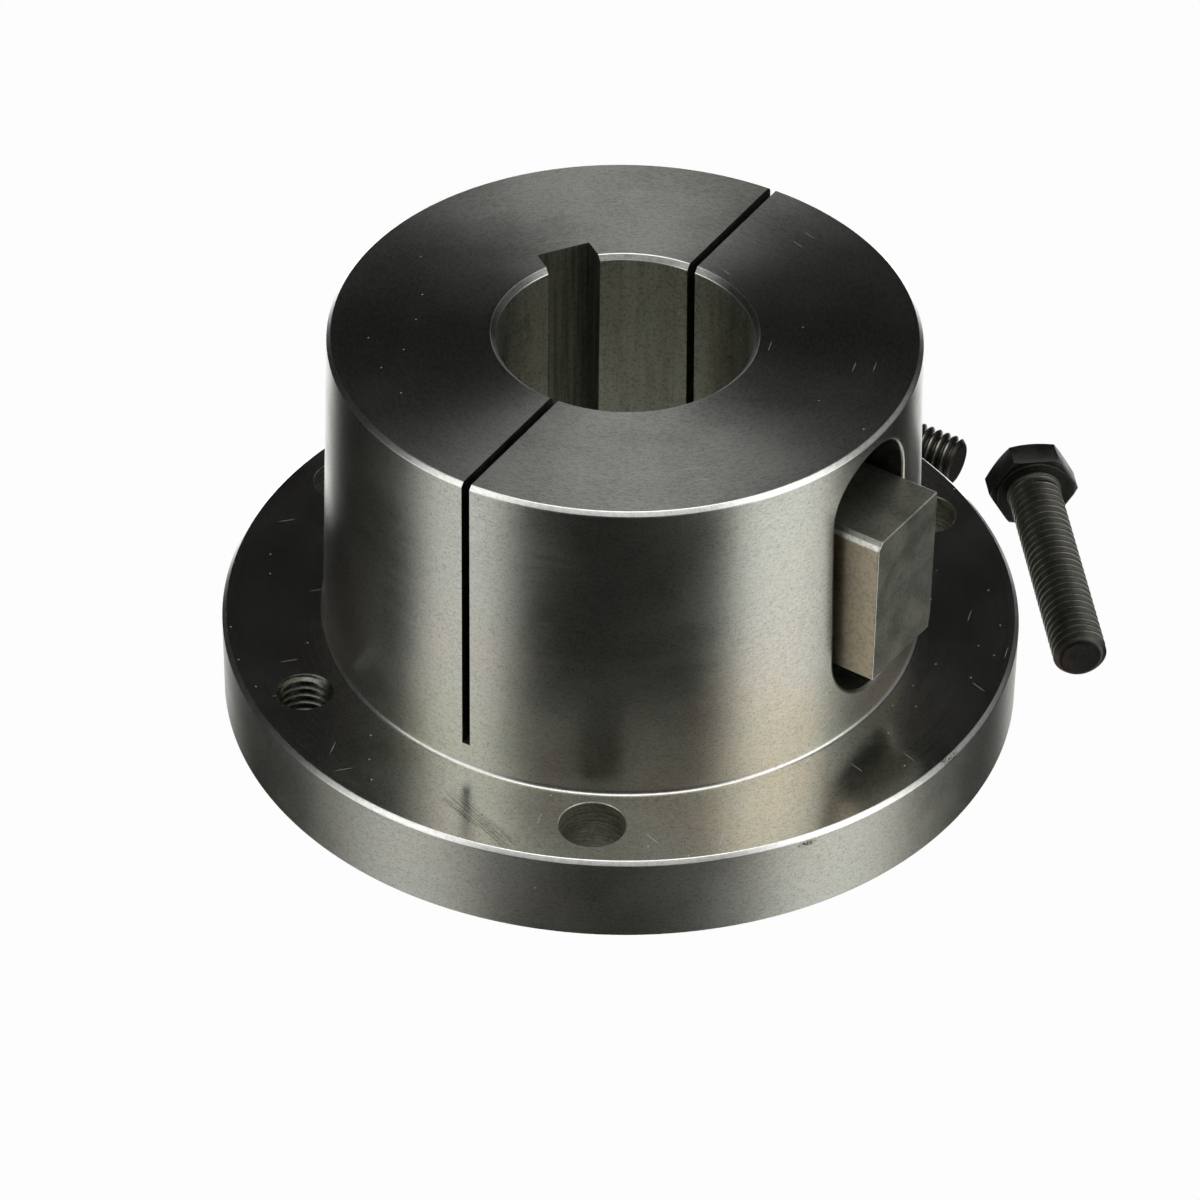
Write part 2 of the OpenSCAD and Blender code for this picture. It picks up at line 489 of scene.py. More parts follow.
def face_rule(mesh, face, segments):
    """A body face's material zone, how its normals are made, and what they follow."""
    centre, flat = face.center, face.normal
    out = centre.xy.normalized()
    facing = Vector((flat.xy.dot(out), flat.z))
    across = flat.xy.dot(Vector((-out.y, out.x)))
    segment = nearest_segment(segments, [centre], facing) if abs(across) < 0.03 else None
    if segment is None:
        corners = [mesh.vertices[i].co for i in face.vertices]
        segment = nearest_segment(segments, corners, facing)
    if segment:
        return turned_zone(Vector((centre.xy.length, centre.z)), facing), "turned", segment
    zone = cut_zone(centre)
    hair = 0.05 * MM
    seat_axis = SEAT_AXES[0] if centre.z < SEAT_AXES[0] else SEAT_AXES[1]
    arm = Vector((centre.y, centre.z - seat_axis)).length
    if centre.x > SEAT_FLOOR_R and abs(arm - SEAT_W / 2) < hair and abs(flat.x) < 0.1:
        return zone, "seat_end", seat_axis
    for place in PLAIN_PLACES:
        if abs((centre - place).xy.length - PLAIN_HOLE_R) < hair and abs(flat.z) < 0.1:
            return zone, "hole", place
    if zone == "seat" and 0.15 < abs(flat.x) < 0.995 and centre.x > SEAT_FLOOR_R + 5 * MM:
        return "barrel", "mouth", None
    return zone, "flat", None


def turned_normal(point, segment):
    """The exact normal at a point of a turned surface."""
    start, end, start_normal, end_normal = segment
    share = share_along(Vector((point.xy.length, point.z)), start, end)
    normal = start_normal.lerp(end_normal, share).normalized()
    out = point.xy.normalized()
    return Vector((out.x * normal.x, out.y * normal.x, normal.y))


def corner_normal(point, flat, kind, guide, mouth_normal):
    """The normal of a body face at one of its corners."""
    if kind == "turned":
        return turned_normal(point, guide)
    if kind == "hole":
        inward = guide - point
        inward.z = 0
        return inward.normalized()
    if kind == "seat_end" and abs(point.z - guide) > 1e-9:
        return Vector((0, -point.y, guide - point.z)).normalized()
    if kind == "mouth":
        return mouth_normal
    return flat


def shade_body(body, segments):
    """Gives every face of the body its material zone and exact smooth normals."""
    mesh = body.data
    rules = [face_rule(mesh, face, segments) for face in mesh.polygons]
    mouth = {}
    for face, (_, kind, _) in zip(mesh.polygons, rules):
        if kind == "mouth":
            for i in face.vertices:
                mouth[i] = mouth.get(i, Vector()) + face.normal * face.area
    normals = [None] * len(mesh.loops)
    for face, (zone, kind, guide) in zip(mesh.polygons, rules):
        face.material_index = ZONES.index(zone)
        face.use_smooth = True
        flat = face.normal.copy()
        for loop in face.loop_indices:
            i = mesh.loops[loop].vertex_index
            mouth_normal = mouth[i].normalized() if kind == "mouth" else None
            normals[loop] = corner_normal(mesh.vertices[i].co, flat, kind, guide, mouth_normal)
    mesh.normals_split_custom_set([tuple(normal) for normal in normals])


def in_hole(point, places, reach):
    """Whether a point lies inside one of some flange holes, or on its wall."""
    return any((point - place).xy.length < reach + 0.3 * MM for place in places)


def cut_zone(centre):
    """The material zone of a face made by a cutter, from where it lies."""
    if in_hole(centre, PLAIN_PLACES, PLAIN_HOLE_R):
        return "hole"
    if in_hole(centre, TAPPED_PLACES, COUNTERSINK_R):
        return "thread"
    hair = 0.02 * MM
    slot = turned(-KEYWAY_AZIMUTH) @ centre
    if slot.x > 0 and abs(slot.y) < KEYWAY_W / 2 + hair and slot.x < KEYWAY_FLOOR_R + hair:
        return "keyway"
    cut = turned(-SLIT_AZIMUTH) @ centre
    lean = Matrix.Rotation(SLIT_LEAN, 4, "X") @ (cut - Vector((0, 0, LENGTH)))
    if abs(lean.y) < SLIT_W / 2 + hair:
        return "slit"
    return "seat"


def turned_zone(here, facing):
    """The material zone of a turned face, from its (radius, height) and its normal."""
    if facing.y > 0.99:
        return "end_face" if here.y > LENGTH - EDGE_CHAMFER else "flange_face"
    if facing.y < -0.99:
        return "flange_face"
    if facing.x < -0.99:
        return "bore"
    # The chamfers at the bore's mouths
    if abs(facing.x + math.sqrt(0.5)) < 0.05:
        return "end_face"
    if facing.x > 0.99:
        return "rim" if here.x > SMALL_R + 5 * MM else "barrel"
    return "edge"


# ---------------------------------------------------------------- cap screws


def screw_frame(node):
    """Where a CAD screw lies, and how long its shank is.

    The matrix takes a screw along +Z, with its bearing face at 0 and its tip up, to its place.
    """
    places = {tuple(round(c, 6) for c in v.co) for v in nodes[node].data.vertices}
    points = [Vector(p) for p in places]
    middle = sum(points, Vector()) / len(points)
    axis = max((p - middle for p in points), key=lambda d: d.length).normalized()
    # Each round turns the axis further towards the way in which the points spread most
    for _ in range(50):
        axis = sum(((p - middle) * (p - middle).dot(axis) for p in points), Vector()).normalized()
    along = [(p - middle).dot(axis) for p in points]
    off = [(p - middle - axis * s).length for p, s in zip(points, along)]
    beyond_shank = HEAD_AF / 2 * 0.85
    wide = [s for s, d in zip(along, off) if d > beyond_shank]
    if sum(wide) / len(wide) > 0:
        axis, along, wide = -axis, [-s for s in along], [-s for s in wide]
    side = axis.cross(UP).normalized()
    flat_up = side.cross(axis)
    matrix = Matrix((flat_up, axis.cross(flat_up), axis)).transposed().to_4x4()
    matrix.translation = middle + axis * max(wide)
    return matrix, max(along) - max(wide)


def make_head():
    """The hex head below z = 0: crowned outside, with room for a washer face under it."""
    corner_r = HEAD_AF / 2 / math.cos(math.pi / 6)
    hexagon = []
    for z in (-HEAD_H, -WASHER_H):
        for i in range(6):
            a = math.pi / 3 * i + math.pi / 6
            hexagon.append((corner_r * math.cos(a), corner_r * math.sin(a), z))
    faces = [tuple(range(6)), tuple(range(6, 12))]
    for i in range(6):
        j = (i + 1) % 6
        faces.append((i, j, 6 + j, 6 + i))
    head = mesh_object("head", hexagon, faces)
    under = -WASHER_H + 0.02 * MM
    outside = corner_r + 0.1 * MM
    envelope = lathe("crown", [
        (0, -HEAD_H), (corner_r - HEAD_CROWN * 1.9, -HEAD_H), (outside, HEAD_CROWN - HEAD_H),
        (outside, -0.75 * MM), (corner_r - 0.65 * MM, under), (0, under),
    ], CUTTER_STEPS)
    combine(head, envelope, "INTERSECT")
    weld(head.data, 0.02 * MM)
    add_bevel(head, 0.16 * MM)
    head.data = applied(head)
    return head


def lay(screw, matrix):
    """Moves a screw's mesh to its place, and keeps where each point was along the screw for its material."""
    mesh = screw.data
    own = mesh.attributes.new(OWN_PLACE, "FLOAT_VECTOR", "POINT")
    for vertex in mesh.vertices:
        own.data[vertex.index].vector = vertex.co
    mesh.transform(matrix)


def shank_envelope(shank_length):
    """What trims a screw's thread: a cylinder with a chamfered and rounded tip."""
    inside = -1.5 * MM
    outside = SCREW_R + 0.2 * MM
    tip_r = SCREW_R - TIP_CHAMFER
    # The ends of the rounded stretch aren't corners, so the points that lead past them are dropped
    rounded = softened([
        (outside, inside), (outside, shank_length - TIP_CHAMFER - 0.2 * MM),
        (tip_r + 0.25 * MM, shank_length - 0.12 * MM), (tip_r - 0.5 * MM, shank_length),
    ], 0.3 * MM)[SOFT_STEPS + 1:-2]
    return lathe("envelope", rounded + [(0, shank_length), (0, inside), (outside, inside)], CUTTER_STEPS)


def make_neck():
    """The washer face, and the fillet where the thread runs out under it."""
    inside = -1 * MM
    fillet_end = 1.1 * MM
    return lathe("neck", [
        (0, inside), (WASHER_R, inside), (WASHER_R, -0.06 * MM), (WASHER_R - 0.06 * MM, 0),
        (SCREW_R + 0.25 * MM, 0), (SCREW_R - 0.15 * MM, 0.35 * MM), (SCREW_R - 0.45 * MM, fillet_end),
        (0, fillet_end),
    ], CUTTER_STEPS)


def make_screw(name, shank_length):
    """One cap screw along +Z, threaded up to its head."""
    thread = helix_solid(name + "_thread", SCREW_R - THREAD_DEPTH, SCREW_R, -1 * MM, shank_length)
    combine(thread, shank_envelope(shank_length), "INTERSECT")
    neck = make_neck()
    screw = make_head()
    combine(screw, neck, "UNION")
    combine(screw, thread, "UNION")
    screw.name = name
    screw.data.name = name
    for face in screw.data.polygons:
        face.use_smooth = True
    screw.data.set_sharp_from_angle(angle=math.radians(38))
    return screw


# ---------------------------------------------------------------- shader helpers


def put(tree, kind, inputs=None, **settings):
    """Adds a shader node; an input is a value or the socket that feeds it."""
    node = tree.nodes.new("ShaderNode" + kind)
    for key, value in settings.items():
        setattr(node, key, value)
    for key, value in (inputs or {}).items():
        if isinstance(value, bpy.types.NodeSocket):
            tree.links.new(value, node.inputs[key])
        else:
            node.inputs[key].default_value = value
    return node


def maths(tree, operation, a, b=0.5, clamp=False):
    return put(tree, "Math", {0: a, 1: b}, operation=operation, use_clamp=clamp).outputs[0]


def times(tree, first, *others):
    """The product of some values or sockets."""
    for other in others:
        first = maths(tree, "MULTIPLY", first, other)
    return first


def plus(tree, first, *others):
    """The sum of some values or sockets."""
    for other in others:
        first = maths(tree, "ADD", first, other)
    return first


def vector_maths(tree, operation, a, b=(0, 0, 0)):
    node = put(tree, "VectorMath", {0: a, 1: b}, operation=operation)
    return node.outputs["Value" if operation in ("DOT_PRODUCT", "LENGTH") else "Vector"]


def remap(tree, value, low, high, to_low=0.0, to_high=1.0):
    """A smooth step from to_low at low to to_high at high."""
    inputs = {"Value": value, "From Min": low, "From Max": high, "To Min": to_low, "To Max": to_high}
    return put(tree, "MapRange", inputs, interpolation_type="SMOOTHSTEP").outputs[0]


def mix(tree, share, a, b):
    """Mixes two colours."""
    node = put(tree, "Mix", {0: share, 6: a, 7: b}, data_type="RGBA")
    return node.outputs[2]


def noise(tree, vector, scale, detail=2.0, roughness=0.5):
    inputs = {"Vector": vector, "Scale": scale, "Detail": detail, "Roughness": roughness}
    return put(tree, "TexNoise", inputs).outputs[0]


def turn_about_z(tree, vector, angle):
    inputs = {"Vector": vector, "Axis": (0, 0, 1), "Angle": angle}
    return put(tree, "VectorRotate", inputs, rotation_type="AXIS_ANGLE").outputs[0]


def split(tree, vector):
    """The three parts of a vector or colour."""
    return put(tree, "SeparateXYZ", {0: vector}).outputs


def new_material(name):
    material = bpy.data.materials.new(name)
    material.use_nodes = True
    material.node_tree.nodes.clear()
    return material, material.node_tree


def colour(r, g, b):
    return (r, g, b, 1)


# ---------------------------------------------------------------- materials

BARREL_STEEL = colour(0.53, 0.535, 0.475)
FACE_STEEL = colour(0.43, 0.43, 0.405)
FLANGE_STEEL = colour(0.77, 0.78, 0.725)
# Painted highlight: the turned chamfers, corner roundings and root fillet take a paler steel than the faces
# beside them
EDGE_HIGHLIGHT_STEEL = colour(0.9, 0.9, 0.86)
# Painted light: the bore and the plain holes take a paler steel than the barrel, for the light that reaches
# into them
BORE_LIT_STEEL = colour(0.82, 0.82, 0.74)
HOLE_LIT_STEEL = colour(0.65, 0.65, 0.57)
THREAD_STEEL = colour(0.18, 0.18, 0.155)
# Painted shade: the keyway's walls take a darker steel than the bore round them
KEYWAY_SHADE_STEEL = colour(0.36, 0.36, 0.31)
# Painted shade: the seat's walls and floor beside the key take a dark copy of the steel
SEAT_SHADE_STEEL = colour(0.2, 0.2, 0.17)
# Painted shade: the slit's saw-cut walls are painted near black
SLIT_SHADE = colour(0.1, 0.1, 0.09)
SCRATCHED_STEEL = colour(0.62, 0.62, 0.58)
GRIME = colour(0.015, 0.015, 0.012)
# Faint pink and straw patches low on the steel: noise scale, noise shift and tint
TEMPER_TINTS = ((38.0, 0.0, (1.2, 0.96, 0.93)), (30.0, 3.0, (1.18, 1.02, 0.8)))

KEY_FACE = colour(0.43, 0.43, 0.365)
# Painted light: the bar's sides take a paler, warmer copy of its steel than its outer face, for the light
# they catch
KEY_SIDE_SHEEN = colour(0.68, 0.6, 0.455)
# Painted highlight: the bar's rounded edges are painted paler than its flats, as thin bright lines
KEY_EDGE_HIGHLIGHT = colour(0.72, 0.72, 0.65)
KEY_CHAMFER = colour(0.4, 0.4, 0.36)
# Painted highlight: the lower part of the bar's upper chamfer is painted near white
KEY_CHAMFER_HIGHLIGHT = colour(1, 1, 0.94)
KEY_GRIME = colour(0.02, 0.018, 0.014)

OXIDE = colour(0.085, 0.085, 0.074)
OXIDE_PORES = colour(0.02, 0.02, 0.017)
WORN_CREST = colour(0.3, 0.29, 0.25)
RUST = colour(0.16, 0.07, 0.05)

# Tool marks across each metre of a turned surface
RINGS_PER_METRE = 2600.0


def lathe_coordinates(tree, place):
    """Sockets for a surface turned about Z: radius, height, and a vector that is seamless round the axis."""
    parts = split(tree, place)
    flat = put(tree, "CombineXYZ", {0: parts[0], 1: parts[1]}).outputs[0]
    return vector_maths(tree, "LENGTH", flat), parts[2], vector_maths(tree, "NORMALIZE", flat)


def groove_tangent(tree, out):
    """The direction across the tool marks, in which a turned surface spreads its highlights."""
    around = vector_maths(tree, "CROSS_PRODUCT", (0, 0, 1), out)
    world = put(tree, "VectorTransform", {0: around}, vector_type="VECTOR",
                convert_from="OBJECT", convert_to="WORLD").outputs[0]
    normal = put(tree, "NewGeometry").outputs["Normal"]
    return vector_maths(tree, "CROSS_PRODUCT", world, normal)


def ring_coordinates(tree, place, run, around):
    """Noise coordinates drawn out round the axis. around is the scale that way, and run counts the rings."""
    flat = vector_maths(tree, "MULTIPLY", place, (around, around, 0))
    rings = put(tree, "CombineXYZ", {2: times(tree, run, RINGS_PER_METRE)}).outputs[0]
    return vector_maths(tree, "ADD", flat, rings)


def surface_coordinates(tree, place, radius, along):
    """Flat coordinates on a turned surface: across a face, or round and along a barrel."""
    if along == "r":
        return place
    parts = split(tree, place)
    turn = maths(tree, "ARCTAN2", parts[1], parts[0])
    return put(tree, "CombineXYZ", {0: times(tree, turn, radius), 1: parts[2]}).outputs[0]


def specks(tree, place, scale, share, radius, dimensions="3D"):
    """Sparse round specks: 1 on a speck and 0 elsewhere. share is the part of the cells that have one."""
    cells = put(tree, "TexVoronoi", {"Vector": place, "Scale": scale}, voronoi_dimensions=dimensions)
    lot = split(tree, cells.outputs["Color"])[0]
    chosen = remap(tree, lot, 1 - share, 1.01 - share)
    reach = radius * scale
    return times(tree, chosen, remap(tree, cells.outputs["Distance"], reach * 1.3, reach * 0.7))


def scratches(tree, flat, share):
    """Short thin scratches in three directions: specks drawn out by the stretch of their coordinates."""
    total = None
    for angle in (15, 70, 130):
        turned_flat = turn_about_z(tree, flat, math.radians(angle))
        stretched = vector_maths(tree, "MULTIPLY", turned_flat, (0.035, 1, 1))
        line = specks(tree, stretched, 420.0, share, 0.05 * MM, "2D")
        total = line if total is None else maths(tree, "MAXIMUM", total, line)
    return total


def edge_patch(tree, place, patch):
    """A soft oval patch on the flange's edge: 1 in its middle and 0 outside it."""
    azimuth, height, half_length, half_height = patch
    middle = (FLANGE_R * math.cos(azimuth), FLANGE_R * math.sin(azimuth), height)
    moved = vector_maths(tree, "SUBTRACT", place, middle)
    scaled = vector_maths(tree, "MULTIPLY", moved, (1 / half_length, 1 / half_length, 1 / half_height))
    return remap(tree, vector_maths(tree, "LENGTH", scaled), 1.0, 0.4)


def rub(tree, place):
    """A bundle of fine dark lines rubbed into the flange's top face."""
    start, end = (Vector((*point, 0)) for point in RUB)
    middle, reach = (start + end) / 2, (end - start).length / 2
    angle = math.atan2(end.y - start.y, end.x - start.x)
    moved = turn_about_z(tree, vector_maths(tree, "SUBTRACT", place, tuple(middle)), -angle)
    parts = split(tree, moved)
    along = remap(tree, maths(tree, "ABSOLUTE", parts[0]), reach, reach * 0.6)
    across = remap(tree, maths(tree, "ABSOLUTE", parts[1]), 2.4 * MM, 0.4 * MM)
    lines = noise(tree, vector_maths(tree, "MULTIPLY", moved, (90, 5200, 0)), 1.0)
    return times(tree, along, across, remap(tree, lines, 0.42, 0.6))


def worn_away(tree, tone, place, rub_and_highlight, pits):
    """Darkens a tone where the surface has rub marks or pits."""
    crumbs = noise(tree, place, 3200.0, 2.0, 0.6)
    if rub_and_highlight:
        tone = maths(tree, "SUBTRACT", tone, times(tree, rub(tree, place), 0.6))
    for patch, low, high, depth in pits:
        pitted = times(tree, edge_patch(tree, place, patch), remap(tree, crumbs, low, high))
        tone = maths(tree, "SUBTRACT", tone, times(tree, pitted, depth))
    return tone


def tempered(tree, base, place, height, strength):
    """Tints a base colour in faint patches that are stronger towards the bottom."""
    tinted = base
    low = remap(tree, height, 55 * MM, 25 * MM, 0.25, 1.0)
    for scale, shift, tint in TEMPER_TINTS:
        patch = noise(tree, vector_maths(tree, "ADD", place, (shift, shift, shift)), scale, 3.0, 0.6)
        share = times(tree, remap(tree, patch, 0.46, 0.66), low, strength)
        target = colour(*(base[i] * tint[i] for i in range(3)))
        tinted = mix(tree, share, tinted, target)
    return tinted


def steel_output(tree, base, rough, height, marks, strength, **more):
    """Metal, with marks (0 to 1) for scratches or specks, which are paler and duller than the rest."""
    bump = put(tree, "Bump", {"Height": height, "Strength": strength, "Distance": 0.01 * MM})
    inputs = {
        "Base Color": mix(tree, marks, base, SCRATCHED_STEEL),
        "Metallic": maths(tree, "SUBTRACT", 1.0, times(tree, marks, 0.8)),
        "Roughness": plus(tree, rough, times(tree, marks, 0.3)),
        "Normal": bump.outputs[0],
    }
    shader = put(tree, "BsdfPrincipled", {**inputs, **more})
    put(tree, "OutputMaterial", {0: shader.outputs[0]})


def turned_steel(name, base, roughness, anisotropy, along, streaks=0.13, speckle=0.3, worn=0.02,
                 temper=0.0, rub_and_highlight=False, pits=()):
    """Machined steel with tool marks round the axis. along is "z" on the barrel and "r" on a face."""
    material, tree = new_material(name)
    place = put(tree, "TexCoord").outputs["Object"]
    radius, height, out = lathe_coordinates(tree, place)
    run = height if along == "z" else radius
    fine_rings = noise(tree, ring_coordinates(tree, place, run, 25.0), 1.0, 3.0, 0.65)
    short_rings = noise(tree, ring_coordinates(tree, place, run, 900.0), 1.0, 3.0, 0.6)
    grain = noise(tree, place, 3000.0, 3.0, 0.6)
    cloud = noise(tree, place, 60.0, 4.0, 0.55)
    tone = times(tree, remap(tree, grain, 0.34, 0.5, 1.0 - speckle, 1.0),
                 remap(tree, cloud, 0.3, 0.7, 0.93, 1.04),
                 remap(tree, short_rings, 0.3, 0.7, 1.0 - streaks, 1.0 + streaks / 2))
    tone = worn_away(tree, tone, place, rub_and_highlight, pits)
    base_colour = mix(tree, tone, GRIME, tempered(tree, base, place, height, temper))
    rough = plus(tree, remap(tree, cloud, 0.3, 0.7, roughness - 0.02, roughness + 0.03),
                 remap(tree, fine_rings, 0.3, 0.7, -0.02, 0.02))
    relief = plus(tree, fine_rings, plus(tree, times(tree, grain, 0.3), times(tree, short_rings, 0.5)))
    flat = surface_coordinates(tree, place, radius, along)
    marks = maths(tree, "MAXIMUM", times(tree, scratches(tree, flat, worn * 3), 0.6),
                  specks(tree, flat, 300.0, worn, 0.12 * MM, "2D"))
    steel_output(tree, base_colour, rough, relief, marks, 0.2, Anisotropic=anisotropy,
                 Tangent=groove_tangent(tree, out))
    return material


def streaked_steel(name, base, roughness, stretch, streaks=0.5, speckle=0.3):
    """Steel cut along straight lines. stretch holds the scale of the streaks along x, y and z."""
    material, tree = new_material(name)
    place = put(tree, "TexCoord").outputs["Object"]
    lines = noise(tree, vector_maths(tree, "MULTIPLY", place, stretch), 1.0, 4.0, 0.65)
    grain = noise(tree, place, 1800.0, 3.0, 0.6)
    cloud = noise(tree, place, 120.0, 3.0, 0.55)
    tone = times(tree, remap(tree, grain, 0.35, 0.55, 1.0 - speckle, 1.0),
                 remap(tree, lines, 0.3, 0.7, 1.0 - streaks, 1.0 + streaks / 3))
    base_colour = mix(tree, tone, GRIME, base)
    rough = remap(tree, cloud, 0.3, 0.7, roughness - 0.05, roughness + 0.06)
    relief = plus(tree, lines, times(tree, grain, 0.5))
    steel_output(tree, base_colour, rough, relief, specks(tree, place, 200.0, 0.01, 0.15 * MM), 0.4)
    return material


def key_steel():
    """The ground key bar: grey outside, painted paler and warm on its sides, with painted highlights on its
    edges and one chamfer.
    """
    material, tree = new_material("key_bar_steel")
    coordinates = put(tree, "TexCoord")
    place = coordinates.outputs["Object"]
    normal = coordinates.outputs["Normal"]
    facing = split(tree, normal)
    sideways = maths(tree, "ABSOLUTE", facing[1])
    side = remap(tree, sideways, 0.9, 0.98)
    chamfer = remap(tree, times(tree, facing[2], sideways), 0.1, 0.3)
    # Painted highlight: the chamfer is painted near white from about 0.6 mm below the bar's top downwards
    rub_and_highlight = remap(tree, split(tree, place)[2], key_high.z - 0.5 * MM, key_high.z - 0.7 * MM)
    # The sum of the normal's fourth powers is 1 on a flat of the bar and less on its rounded edges
    squared = vector_maths(tree, "MULTIPLY", normal, normal)
    fourth = vector_maths(tree, "DOT_PRODUCT", squared, squared)
    edges = maths(tree, "SUBTRACT", remap(tree, fourth, 0.97, 0.9), chamfer, clamp=True)
    grain = noise(tree, place, 1500.0, 3.0, 0.65)
    cloud = noise(tree, place, 160.0, 4.0, 0.6)
    lines = noise(tree, vector_maths(tree, "MULTIPLY", place, (200, 200, 2500)), 1.0, 3.0, 0.6)
    tone = times(tree, remap(tree, grain, 0.3, 0.6, 0.72, 1.0), remap(tree, cloud, 0.3, 0.7, 0.92, 1.04))
    # Painted light: the sides are a paler, warmer copy of the face's steel
    base = mix(tree, side, KEY_FACE, KEY_SIDE_SHEEN)
    base = mix(tree, chamfer, base, mix(tree, rub_and_highlight, KEY_CHAMFER, KEY_CHAMFER_HIGHLIGHT))
    # Painted highlight lines along the bar's rounded edges
    base = mix(tree, edges, base, KEY_EDGE_HIGHLIGHT)
    base_colour = mix(tree, tone, KEY_GRIME, base)
    rough = plus(tree, remap(tree, cloud, 0.3, 0.7, 0.38, 0.46), times(tree, side, 0.06))
    relief = plus(tree, times(tree, lines, 0.5), grain)
    steel_output(tree, base_colour, rough, relief, specks(tree, place, 260.0, 0.04, 0.14 * MM), 0.3)
    return material


def oxide_steel():
    """Black oxide on a screw, with worn thread crests and rust in a few roots."""
    material, tree = new_material("black_oxide_steel")
    place = put(tree, "Attribute", attribute_name=OWN_PLACE).outputs["Vector"]
    radius, along, _ = lathe_coordinates(tree, place)
    grain = noise(tree, place, 1700.0, 3.0, 0.65)
    cloud = noise(tree, place, 260.0, 3.0, 0.6)
    shank = remap(tree, along, 0.2 * MM, 0.8 * MM)
    crest = remap(tree, radius, SCREW_R - 0.12 * MM, SCREW_R - 0.02 * MM)
    root = remap(tree, radius, SCREW_R - 0.45 * MM, SCREW_R - 0.7 * MM)
    worn = times(tree, shank, crest, remap(tree, cloud, 0.3, 0.6, 0.35, 1.0))
    rust = times(tree, shank, root, remap(tree, cloud, 0.52, 0.66, 0.0, 0.4))
    base = mix(tree, remap(tree, grain, 0.3, 0.6, 0.7, 1.0), OXIDE_PORES, OXIDE)
    base = mix(tree, worn, base, WORN_CREST)
    base = mix(tree, rust, base, RUST)
    rough = maths(tree, "SUBTRACT", remap(tree, cloud, 0.3, 0.7, 0.36, 0.48), times(tree, worn, 0.14))
    marks = specks(tree, place, 330.0, 0.03, 0.12 * MM)
    steel_output(tree, base, rough, plus(tree, grain, cloud), marks, 0.4)
    return material


# ---------------------------------------------------------------- pieces


def zone_materials():
    """The body's materials, by zone."""
    flange_face = turned_steel("flange_face_steel", FLANGE_STEEL, 0.205, 0.5, "r", worn=0.1, temper=0.18,
                               rub_and_highlight=True, pits=[ROUGH_PITS])
    return {
        "barrel": turned_steel("barrel_steel", BARREL_STEEL, 0.31, 0.4, "z", worn=0.01, temper=0.3),
        "end_face": turned_steel("end_face_steel", FACE_STEEL, 0.42, 0.85, "r", streaks=0.22, worn=0.03,
                                 temper=0.1),
        "flange_face": flange_face,
        "rim": turned_steel("rim_steel", BARREL_STEEL, 0.4, 0.4, "z", temper=0.1,
                            pits=[NICK_PITS, ROUGH_PITS]),
        "bore": streaked_steel("bore_lit_steel", BORE_LIT_STEEL, 0.3, (420, 420, 30), streaks=0.22),
        "edge": turned_steel("edge_highlight_steel", EDGE_HIGHLIGHT_STEEL, 0.3, 0.4, "z", speckle=0.15, pits=[ROUGH_PITS]),
        "hole": streaked_steel("hole_lit_steel", HOLE_LIT_STEEL, 0.45, (150, 150, 2200)),
        "thread": streaked_steel("thread_steel", THREAD_STEEL, 0.32, (900, 900, 900), streaks=0.3),
        "slit": streaked_steel("slit_shade_steel", SLIT_SHADE, 0.6, (400, 400, 400)),
        "keyway": streaked_steel("keyway_shade_steel", KEYWAY_SHADE_STEEL, 0.4, (1500, 1500, 40)),
        "seat": streaked_steel("seat_shade_steel", SEAT_SHADE_STEEL, 0.5, (300, 900, 300)),
    }


body = make_body()
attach(body, "bushing")
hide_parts("bushing_body")
materials = zone_materials()
for zone in ZONES:
    body.data.materials.append(materials[zone])

key = nodes["barrel_key"]
key_weld = key.modifiers.new("weld", "WELD")
key_weld.merge_threshold = 0.001 * MM
add_bevel(key, 0.18 * MM)
key.data.materials.clear()
key.data.materials.append(key_steel())

oxide = oxide_steel()
for number in (1, 2, 3):
    node = f"cap_screw_{number}"
    matrix, shank = screw_frame(node)
    screw = make_screw(f"hex_screw_{number}", shank)
    lay(screw, matrix)
    screw.data.materials.clear()
    screw.data.materials.append(oxide)
    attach(screw, f"screw_{number}")
    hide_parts(node)


# ---------------------------------------------------------------- light

CAMERA_AZIMUTH = math.radians(-55.8)
CAMERA_ELEVATION = math.radians(38.642)
CAMERA_DISTANCE = 982.51 * MM
CAMERA_ROLL = math.radians(0.779)
CAMERA_AIM = Vector((-2.97, -1.94, 15.99)) * MM
LENS = 171.896

ROOM_LIGHT = 0.012
# Each light's middle azimuth from the camera's side, its half width, its low and high elevation and the
# softness of its edges, all in degrees, and its strength
SOFT_BOXES = {
    "left": (-63, 18, -85, 58, 7, 1.0),
    "right": (65, 21, -85, 58, 7, 1.25),
    "upper left": (-63, 18, 20, 58, 7, 0.4),
    "upper right": (65, 21, 20, 58, 7, 0.45),
    "right rear": (108, 22, 12, 40, 8, 0.25),
    "front": (0, 52, 51, 63, 3, 1.15),
    "low rear": (180, 28, -85, 4, 8, 2.0),
    "overhead": (0, 400, 66, 95, 8, 2.0),
}

# Gaps that keep the stage pieces from touching the part or each other
FLOOR_GAP = 0.05 * MM
SHADE_GAP = 0.03 * MM


def smooth_box(tree, azimuth, elevation, box):
    """The light of one of the soft boxes in a direction."""
    middle, half, low, high, soft, strength = box
    turn = maths(tree, "SUBTRACT", azimuth, math.radians(middle))
    wrapped = put(tree, "Math", {0: turn, 1: math.pi, 2: -math.pi}, operation="WRAP").outputs[0]
    off = maths(tree, "ABSOLUTE", wrapped)
    edge = math.radians(soft)
    side = remap(tree, off, math.radians(half) + edge, math.radians(half) - edge)
    below = remap(tree, elevation, math.radians(low) - edge, math.radians(low) + edge)
    above = remap(tree, elevation, math.radians(high) + edge, math.radians(high) - edge)
    return times(tree, side, below, above, strength)


